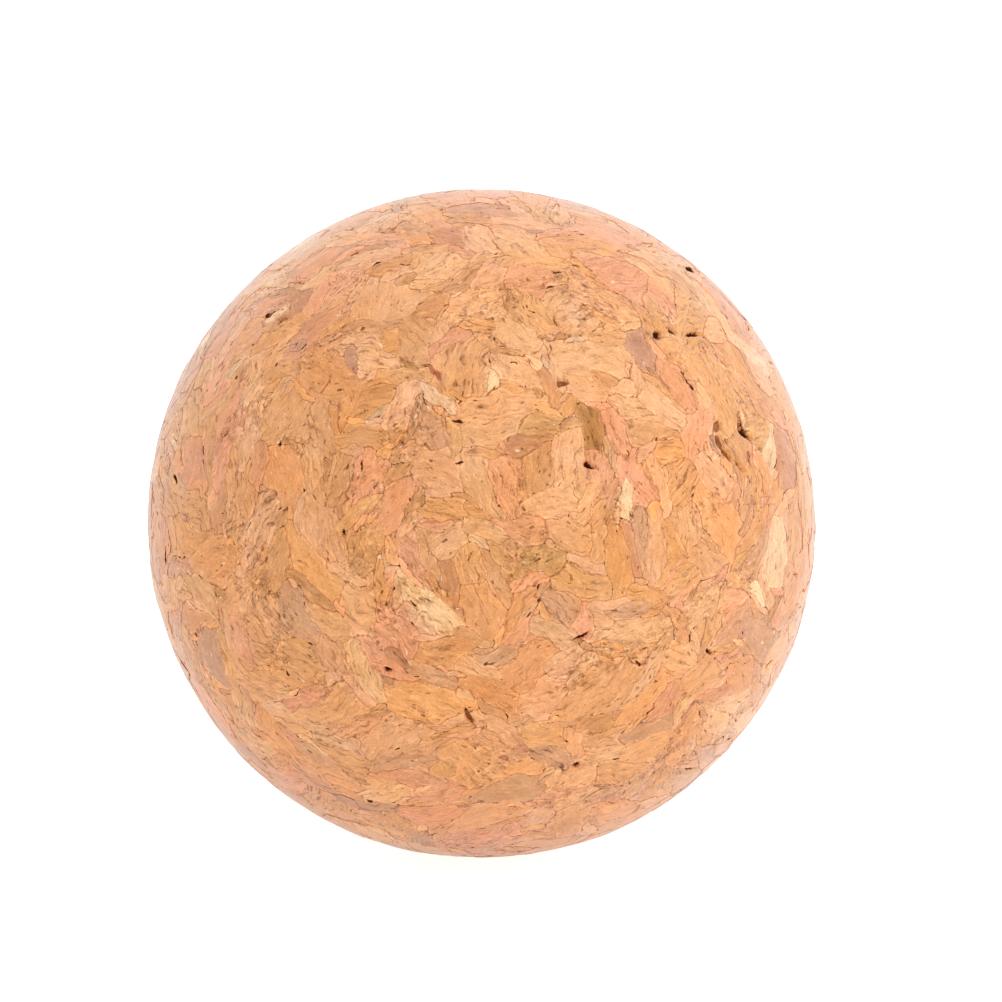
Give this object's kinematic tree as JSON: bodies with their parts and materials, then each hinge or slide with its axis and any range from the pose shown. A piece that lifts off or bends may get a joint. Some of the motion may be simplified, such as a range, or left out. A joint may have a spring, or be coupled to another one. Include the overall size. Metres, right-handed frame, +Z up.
{
  "type": "massage ball",
  "caption": "Solid agglomerated-cork ball for rolling out muscles: coarse cork granules ground flush in a bonded fine-cork body.",
  "frame": {"origin": "centre of the ball", "axes": "+Z up from the resting point on the ground; the best face looks to -Y and slightly up; +X to the right of someone looking at that face"},
  "size_m": [0.065, 0.065, 0.065],
  "materials": {
    "bonded_cork": "ground, bare",
    "tan_cork": "ground, bare",
    "sand_cork": "ground, bare",
    "amber_cork": "ground, bare",
    "rose_cork": "ground, bare",
    "peach_cork": "ground, bare",
    "brown_cork": "ground, bare",
    "grey_cork": "ground, bare",
    "cream_cork": "ground, bare",
    "umber_cork": "ground, bare"
  },
  "bodies": {
    "root": {"bonded_matrix": "bonded_cork", "coarse_tan_granules": "tan_cork", "medium_tan_granules": "tan_cork", "coarse_sand_granules": "sand_cork", "medium_sand_granules": "sand_cork", "coarse_amber_granules": "amber_cork", "medium_amber_granules": "amber_cork", "coarse_rose_granules": "rose_cork", "medium_rose_granules": "rose_cork", "coarse_peach_granules": "peach_cork", "medium_peach_granules": "peach_cork", "coarse_brown_granules": "brown_cork", "medium_brown_granules": "brown_cork", "coarse_grey_granules": "grey_cork", "medium_grey_granules": "grey_cork", "cream_granules": "cream_cork", "umber_granules": "umber_cork"}
  },
  "joints": []
}
